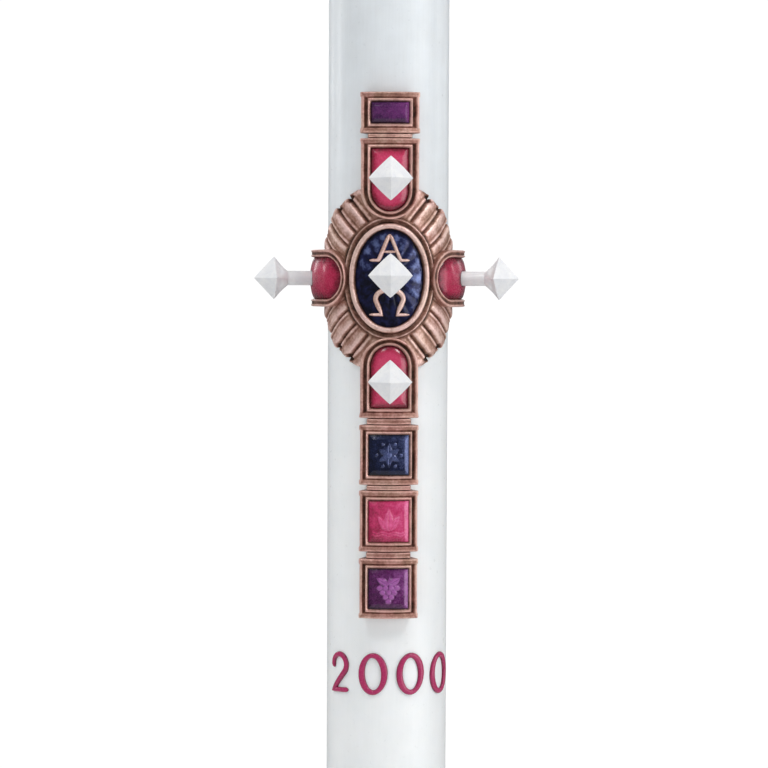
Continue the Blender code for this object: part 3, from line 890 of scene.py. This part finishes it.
def nail_rings():
    """A nail from its apex to the floor of its pocket: radius, distance, power and shade."""
    rim, rim_low = NAIL_CORNERS + 0.3, NAIL_CORNERS - 0.45
    top, neck = NAIL_APEX - 0.6, NAIL_NECK - 0.3
    rings = [(0.15, NAIL_APEX - 0.25, 1.3, 0.9), (0.5, top, HEAD_POWER, 1.0)]
    for i in range(1, 12):
        share = i / 12
        rings.append((mix(0.5, NAIL_HALF - 0.25, share), mix(top, rim, share), HEAD_POWER, 0.8))
    rings += [(NAIL_HALF, NAIL_CORNERS, HEAD_POWER, 1.0), (NAIL_HALF - 0.3, rim_low, HEAD_POWER, 0.7)]
    for i in range(1, 13):
        share = i / 12
        radius = mix(NAIL_HALF - 0.3, SHANK, share) - 0.5 * sin(pi * share)
        power = mix(HEAD_POWER, ROUND_POWER, smooth_step(0.25, 1.0, share))
        rings.append((radius, mix(rim_low, neck, share), power, 0.55))
    for i in range(1, 25):
        rings.append((SHANK, mix(neck, NAIL_TIP + 0.8, i / 24), ROUND_POWER, 0.5))
    rings += [(SHANK - 0.25, NAIL_TIP + 0.2, ROUND_POWER, 0.6), (SHANK - 0.8, NAIL_TIP, ROUND_POWER, 0.5)]
    rings += [(POCKET, NAIL_TIP, ROUND_POWER, 0.3), (POCKET, POCKET_FLOOR, ROUND_POWER, 0.0)]
    return rings


def nail_shape(name):
    """A pyramid head that tapers back to a round shank, with a pocket for the incense in its tip."""
    place = nail_frame(name)
    return lofted([(placed(place, nail_ring(*ring)), shade) for *ring, shade in nail_rings()])


def pillar_shape():
    """The candle: a long turned pillar with a rounded shoulder and a shallow dish round the wick."""
    profile = [(RADIUS - 0.8, 0.0), (RADIUS - 0.2, 0.25), (RADIUS, 0.9)]
    profile += [(RADIUS, mix(0.9, TOP - SHOULDER, i / 60)) for i in range(1, 61)]
    for i in range(1, 11):
        angle = pi / 2 * i / 10
        profile.append((RADIUS - SHOULDER * (1 - cos(angle)), TOP - SHOULDER * (1 - sin(angle))))
    dish = ((26.0, 0.1), (14.0, 0.7), (6.0, 1.3), (2.6, 1.5), (2.0, 2.2), (1.9, 30.0))
    profile += [(radius, TOP - depth) for radius, depth in dish]
    rings = []
    for radius, height in profile:
        ring = [Vector((radius * sin(t), -radius * cos(t), height)) * MM for t in full_turn(192)]
        # The shade blends the wax from painted shade above the cross to white below it
        rings.append((ring, smooth_step(CROSS + PAINTED_SHADE_FADE, CROSS - PAINTED_SHADE_FADE, height)))
    return lofted(rings)


def circle(centre, radius, count):
    """A level ring round a centre in millimetres, in metres."""
    return [(centre + Vector((radius * cos(t), radius * sin(t), 0.0))) * MM for t in full_turn(count)]


def wick_shape():
    """Three strands of cotton plaited above the wax, and a plain core below it."""
    low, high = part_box("wick")
    start = TOP - WICK_ROOT
    length = high.z / MM - start
    shape = lofted([(circle(Vector((0.0, 0.0, z)), WICK_CORE, 12), 0.3) for z in (low.z / MM, start)])
    steps = 110
    for strand in range(3):
        rings = []
        for i in range(steps + 1):
            share = i / steps
            phase = 2 * pi * (strand / 3 + share * length / PLAIT_PITCH)
            lean = Vector((1.2, -0.7, 0.0)) * smooth_step(0.35, 1.0, share)
            middle = Vector((0.75 * cos(phase), 0.55 * sin(2 * phase), start + length * share))
            size = 0.78 * (1 - 0.5 * smooth_step(0.96, 1.0, share))
            rings.append((circle(middle + lean, size, 10), 0.4 + 0.5 * sin(phase) ** 2))
        shape = join(shape, lofted(rings))
    return shape


# ---- materials


class Nodes:
    """A short way to wire a material's nodes."""

    def __init__(self, name):
        self.mat = bpy.data.materials.new(name)
        self.mat.use_nodes = True
        self.tree = self.mat.node_tree
        self.shader = self.tree.nodes["Principled BSDF"]
        self.place = self.add("TexCoord").outputs["Object"]

    def add(self, kind, **settings):
        node = self.tree.nodes.new("ShaderNode" + kind)
        for key, value in settings.items():
            setattr(node, key, value)
        return node

    def plug(self, value, socket):
        """Links an output to the socket, or sets the socket's value."""
        if isinstance(value, bpy.types.NodeSocket):
            self.tree.links.new(value, socket)
        else:
            socket.default_value = value

    def feed(self, node, **links):
        """Fills sockets by name. An underscore in a name stands for a space."""
        for key, value in links.items():
            self.plug(value, node.inputs[key.replace("_", " ")])
        return node

    def noise(self, scale, detail=4.0, roughness=0.55, stretch=(1.0, 1.0, 1.0)):
        """Noise in metres: scale is how many features there are in a millimetre."""
        scales = [scale / MM * s for s in stretch]
        mapping = self.feed(self.add("Mapping"), Vector=self.place, Scale=scales)
        node = self.feed(self.add("TexNoise"), Vector=mapping.outputs[0])
        self.feed(node, Scale=1.0, Detail=detail, Roughness=roughness)
        return node.outputs["Fac"]

    def ramp(self, value, places, colours):
        node = self.add("ValToRGB")
        self.plug(value, node.inputs[0])
        elements = node.color_ramp.elements
        while len(elements) < len(colours):
            elements.new(0.5)
        for element, position, colour in zip(elements, places, colours):
            element.position = position
            element.color = (*colour, 1.0)
        return node.outputs["Color"]

    def range(self, value, low, high, start=0.0, end=1.0):
        """Runs from low to high while the value runs from start to end."""
        node = self.add("MapRange")
        for socket, source in zip(node.inputs, (value, start, end, low, high)):
            self.plug(source, socket)
        return node.outputs[0]

    def maths(self, operation, first, second):
        node = self.add("Math", operation=operation)
        for socket, value in zip(node.inputs, (first, second)):
            self.plug(value, socket)
        return node.outputs[0]

    def shade(self, patchy=0.0):
        """The mesh's shade, broken up a little, and into broad patches if it is patchy."""
        attribute = self.add("Attribute", attribute_name="shade")
        uneven = self.range(self.noise(0.7, 6.0), -0.16, 0.16, 0.25, 0.75)
        shade = self.maths("ADD", attribute.outputs["Fac"], uneven)
        if patchy:
            patches = self.range(self.noise(0.22, 2.0), -patchy, patchy, 0.35, 0.65)
            shade = self.maths("ADD", shade, patches)
        return shade

    def blend(self, share, first, second):
        """A colour between two, share of the way to the second."""
        node = self.add("Mix", data_type="RGBA")
        for place, value in ((0, share), (6, first), (7, second)):
            self.plug(value, node.inputs[place])
        return node.outputs[2]

    def bump(self, height, depth):
        """Bump from a value between 0 and 1 that stands for depth millimetres."""
        node = self.feed(self.add("Bump"), Height=height, Strength=1.0, Distance=depth * MM)
        self.feed(self.shader, Normal=node.outputs[0])

    def glow(self, weight, tint, depth):
        """Lets light into the wax, tinted, to a depth in millimetres."""
        self.set(Subsurface_Weight=weight, Subsurface_Radius=tint, Subsurface_Scale=depth * MM)

    def set(self, **values):
        self.feed(self.shader, **values)
        return self.mat


def pillar_material():
    n = Nodes("white_candle_wax")
    cloud = n.noise(0.05, 5.0)
    streak = n.noise(0.6, 3.0, stretch=(1.0, 1.0, 0.06))
    mottle = n.maths("ADD", n.maths("MULTIPLY", cloud, 0.7), n.maths("MULTIPLY", streak, 0.3))
    # The darker tone is painted shade, blended in above the cross
    white, painted_shade = [n.ramp(mottle, (0.35, 0.62), colours) for colours in (WHITE_WAX, PAINTED_SHADE_WAX)]
    fade = n.add("Attribute", attribute_name="shade").outputs["Fac"]
    colour = n.blend(fade, painted_shade, white)
    rough = n.range(n.noise(0.35, 6.0), 0.26, 0.46, 0.3, 0.7)
    fine = n.maths("ADD", n.maths("MULTIPLY", n.noise(1.4, 5.0), 0.4), n.maths("MULTIPLY", streak, 0.6))
    n.bump(fine, 0.05)
    n.glow(0.25, (1.0, 0.9, 0.8), 4.0)
    return n.set(Base_Color=colour, Roughness=rough, Coat_Weight=0.15, Coat_Roughness=0.25)


def bronze_material(name, colours):
    n = Nodes(name)
    # The shade carries patina in the grooves together with the painted shade and painted highlights set on
    # each piece
    shade = n.shade()
    blotch = n.range(n.noise(0.16, 4.0), -0.20, 0.20, 0.3, 0.7)
    tone = n.maths("ADD", shade, blotch)
    rose, tan = [n.ramp(tone, (0.0, 0.28, 0.58, 1.0), stops) for stops in (colours, TAN)]
    colour = n.blend(n.range(n.noise(0.07, 3.0), 0.0, TAN_SHARE, 0.35, 0.65), rose, tan)
    grain = n.noise(2.6, 6.0, 0.65)
    rough = n.range(n.maths("SUBTRACT", grain, n.maths("MULTIPLY", shade, 0.35)), 0.28, 0.62, 0.0, 0.6)
    n.bump(n.maths("ADD", grain, n.maths("MULTIPLY", n.noise(0.5, 3.0), 1.2)), 0.12)
    return n.set(Base_Color=colour, Roughness=rough, Metallic=0.45, Coat_Weight=0.1, Coat_Roughness=0.3)


def jewel_material(name, colours, metallic=0.0, roughness=0.18, coat=0.5, patchy=0.1):
    n = Nodes(name)
    # The shade carries the painted shade and painted highlights set on each jewel
    colour = n.ramp(n.shade(patchy), (0.0, 0.45, 1.0), colours)
    rough = n.range(n.noise(1.1, 5.0), roughness, roughness + 0.18, 0.3, 0.7)
    n.bump(n.noise(0.35, 3.0), 0.22)
    n.glow(0.08, (1.0, 0.3, 0.4), 2.0)
    n.set(Specular_IOR_Level=0.3, Coat_Weight=coat, Coat_Roughness=0.12, Coat_IOR=1.4)
    return n.set(Base_Color=colour, Roughness=rough, Metallic=metallic)


def pearl_material():
    n = Nodes("pearl_wax")
    colour = n.ramp(n.noise(0.18, 4.0), (0.3, 0.7), PEARL)
    rough = n.range(n.noise(0.9, 5.0), 0.24, 0.42, 0.3, 0.7)
    n.bump(n.noise(0.5, 4.0), 0.10)
    n.glow(0.2, (1.0, 0.95, 0.9), 2.0)
    return n.set(Base_Color=colour, Roughness=rough, Coat_Weight=0.25, Coat_Roughness=0.2)


def grainy_material(name, colours, scale, detail, rough, depth=0.0, stretch=(1.0, 1.0, 1.0), sheen=0.0):
    """A material whose colour, roughness and bump all come from one noise."""
    n = Nodes(name)
    grain = n.noise(scale, detail, stretch=stretch)
    colour = n.ramp(grain, (0.3, 0.7), colours)
    if depth:
        n.bump(grain, depth)
    return n.set(Base_Color=colour, Roughness=n.range(grain, *rough), Sheen_Weight=sheen)


def cotton_material():
    return grainy_material("wick_cotton", COTTON, 3.0, 4.0, (0.8, 0.95), 0.15, (1.0, 1.0, 0.25), sheen=0.2)


def resin_material():
    return grainy_material("incense_resin", RESIN, 1.2, 5.0, (0.35, 0.7), 0.3)


def floor_material():
    return grainy_material("pale_floor", FLOOR, 0.02, 4.0, (0.7, 0.85))


# ---- assembly


def span(node):
    """A node's lowest and highest point above the cross's centre, in millimetres."""
    low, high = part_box(node)
    return low.z / MM - CROSS, high.z / MM - CROSS


def half_width(node):
    """Half the width of a node on the front, measured round the candle."""
    return FRAME_BEND * asin(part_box(node)[1].x / MM / FRAME_BEND)


def make_setting(name, panel, bronze, node):
    return make(f"{name}_setting", frame_shape(panel), bronze, node, uneven=0.07)


def build_tiles(bronze):
    tiles = {
        "top_tile": (plain_face, jewel_material("purple_bar_wax", DARK_PURPLE), "purple_wax"),
        "navy_tile": (rosette, jewel_material("navy_wax", NAVY, 0.4), "navy_wax"),
        "pink_tile": (flames, jewel_material("pink_wax", PINK), "raspberry_wax"),
        "purple_tile": (grapes, jewel_material("purple_wax", PURPLE), "purple_wax"),
    }
    for name, (relief, stone, slot) in tiles.items():
        node = f"{name}_frame"
        bar = name == "top_tile"
        panel = Panel(half_width(node), *span(node), scales=PLAIN_SCALES if bar else TILE_SCALES)
        make_setting(name, panel, bronze, node)
        jewel = relief_shape(panel, relief, *(BAR_CUT if bar else TILE_CUT))
        make(f"{name}_stone", jewel, stone, f"{name}_jewel", sharp=28.0, uneven=0.05)


def arm_panels():
    """The outlines of the four arms. An arm is drawn outwards from the cross's centre."""
    upper, lower = span("upper_arm_frame"), span("lower_arm_frame")
    front_half = half_width("upper_arm_frame")
    side_low, side_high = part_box("right_arm_frame")
    side_half = (side_high.z - side_low.z) / 2 / MM
    inner, outer = [FRAME_BEND * acos(-y / MM / FRAME_BEND) for y in (side_low.y, side_high.y)]
    return {
        "upper": Panel(front_half, *upper, True),
        "lower": Panel(front_half, -lower[1], -lower[0], True, (0.0, -1.0)),
        "left": Panel(side_half, inner, outer, True, (-1.0, 0.0), SIDE_ARM_SCALES),
        "right": Panel(side_half, inner, outer, True, (1.0, 0.0), SIDE_ARM_SCALES),
    }


def build_arms(bronze):
    front_stone = jewel_material("raspberry_wax", RASPBERRY, coat=0.9)
    side_stone = jewel_material("side_raspberry_wax", RASPBERRY, coat=0.35)
    for name, panel in arm_panels().items():
        node = f"{name}_arm_frame"
        setting = make_setting(name, panel, bronze, node)
        dome = cabochon_shape(panel, *(SIDE_DOME if panel.beside else FRONT_DOME))
        if panel.beside:
            # Painted shade: the side domes are darkened
            dome.shades = [shade * SIDE_DOME_PAINTED_SHADE for shade in dome.shades]
        stone = side_stone if panel.beside else front_stone
        node = f"{name}_cabochon"
        jewel = make(f"{name}_dome", dome, stone, node, sharp=30.0, uneven=0.06)
        bore(setting, name)
        bore(jewel, name)


def build_connectors(bronze):
    for name in ("top", "upper", "middle", "bottom"):
        node = f"{name}_connector"
        panel = Panel(half_width(node) * CONNECTOR_WIDTH, *span(node))
        make(f"{name}_bar", connector_shape(panel), bronze, node, uneven=0.08)


def build_medallion(bronze):
    plate = make("sunburst", plate_shape(), bronze, "sunburst_plate", 50.0, 0.10)
    bore(plate, "centre")
    make("oval_ring", ring_shape(), bronze, "medallion_ring", 60.0, 0.07)
    enamel = jewel_material("navy_enamel", NAVY_ENAMEL, 0.6, 0.35, patchy=0.22)
    field = make("oval_field", field_shape(), enamel, "medallion_field", 50.0)
    bore(field, "centre")
    make("peak_sign", first_letter_shape(), bronze, "first_letter", 60.0)
    make("horseshoe_sign", last_letter_shape(), bronze, "last_letter", 60.0)


def build_numerals():
    red = jewel_material("numeral_wax", NUMERAL)
    for name, degrees in NUMERAL_TURNS.items():
        node = f"{name}_numeral"
        low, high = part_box(node)
        base = (low.z + high.z) / 2 / MM
        place = (0.1, NUMERAL_RISE, RADIUS + NUMERAL_RISE, radians(degrees), base)
        if name == "first":
            shape = stroke_shape(two_path(), two_width, *place)
        else:
            shape = stroke_shape(zero_path(), zero_width, *place, closed=True)
        make(f"{name}_figure", shape, red, node, sharp=60.0, uneven=0.05)


def build_nails():
    pearl = pearl_material()
    resin = resin_material()
    for name in NAIL_TURNS:
        shape, body, node = nail_shape(name), f"{name}_nail", f"nail_{name}"
        make(f"{name}_incense_nail", shape, pearl, node, 24.0, 0.06, body)
        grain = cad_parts[f"incense_{name}"]
        grain.data.materials.clear()
        grain.data.materials.append(resin)


def build_pillar():
    wax = pillar_material()
    pillar = make("pillar", pillar_shape(), wax, "candle_body", sharp=30.0, uneven=0.05)
    for name in NAIL_TURNS:
        bore(pillar, name)
    make("plaited_wick", wick_shape(), cotton_material(), "wick", sharp=60.0)


def build_floor():
    bpy.ops.mesh.primitive_circle_add(vertices=128, radius=0.85, fill_type="NGON")
    floor = bpy.context.object
    floor.name = "floor"
    floor.data.materials.append(floor_material())


def bearing(azimuth, elevation):
    """The direction towards a bearing, in degrees from the front and from level."""
    a, e = radians(azimuth), radians(elevation)
    return Vector((sin(a) * cos(e), -cos(a) * cos(e), sin(e)))


def add_light(name, azimuth, elevation, distance, size, power, shines=True, aim=0.0):
    """A soft square light, in metres. Its aim is in millimetres above the cross."""
    away = bearing(azimuth, elevation)
    data = bpy.data.lights.new(name, "AREA")
    data.size = size
    data.energy = power
    light = add_object(name, data)
    light.location = Vector((0.0, 0.0, (CROSS + aim) * MM)) + away * distance
    light.rotation_euler = away.to_track_quat("Z", "Y").to_euler()
    light.visible_glossy = shines


def build_lights():
    add_light("key", 50.0, 40.0, 1.5, 0.4, 7.4)
    add_light("fill", -35.0, 45.0, 1.5, 0.4, 3.8)
    add_light("left_panel", -100.0, 22.0, 1.5, 0.8, 6.2, shines=False)
    add_light("right_panel", 62.0, -3.0, 1.5, 1.0, 8.5)
    add_light("low_panel", -30.0, 0.0, 1.3, 1.0, 5.2, shines=False, aim=-260.0)
    add_light("rim_left", -138.0, 10.0, 1.5, 0.25, 0.6)
    add_light("rim_right", 134.0, 10.0, 1.5, 0.25, 0.4)
    add_light("glint_left", -110.0, 10.0, 1.5, 0.25, 1.1)
    add_light("glint_right", 108.0, 10.0, 1.5, 0.25, 0.8)
    add_light("top", 0.0, 74.0, 1.1, 0.4, 3.0, shines=False)
    add_light("back", 180.0, 20.0, 1.8, 1.0, 5.0)


def build_world():
    """A soft sky that lights the scene, and a white backdrop that only the camera sees."""
    world = bpy.data.worlds.new("studio")
    bpy.context.scene.world = world
    world.use_nodes = True
    tree = world.node_tree
    sky = tree.nodes["Background"]
    backdrop = tree.nodes.new("ShaderNodeBackground")
    for node, (colour, strength) in ((sky, SKY), (backdrop, BACKDROP)):
        node.inputs["Color"].default_value = colour
        node.inputs["Strength"].default_value = strength
    path = tree.nodes.new("ShaderNodeLightPath")
    choice = tree.nodes.new("ShaderNodeMixShader")
    for i, output in enumerate((path.outputs["Is Camera Ray"], sky.outputs[0], backdrop.outputs[0])):
        tree.links.new(output, choice.inputs[i])
    tree.links.new(choice.outputs[0], tree.nodes["World Output"].inputs["Surface"])


def build_camera():
    """Straight at the front from a little above, with the pillar running out of the picture."""
    away = bearing(*CAMERA_BEARING)
    roll = Matrix.Rotation(radians(CAMERA_ROLL), 3, "Z").to_quaternion()
    data = bpy.data.cameras.new("camera")
    data.sensor_width = SENSOR
    data.lens = SENSOR * CAMERA_DISTANCE / SEEN_WIDTH
    data.shift_x = CAMERA_SHIFT
    camera = add_object("camera", data)
    camera.location = Vector((0.0, 0.0, (CROSS + CAMERA_AIM) * MM)) + away * CAMERA_DISTANCE
    camera.rotation_euler = (away.to_track_quat("Z", "Y") @ roll).to_euler()
    bpy.context.scene.camera = camera


bpy.context.scene.view_settings.view_transform = "Standard"
build_camera()
build_lights()
build_world()
build_floor()
build_pillar()
build_nails()
bronze = bronze_material("rose_bronze_wax", BRONZE)
build_tiles(bronze)
build_arms(bronze)
build_connectors(bronze)
build_medallion(bronze_material("pale_bronze_wax", PALE_BRONZE))
build_numerals()
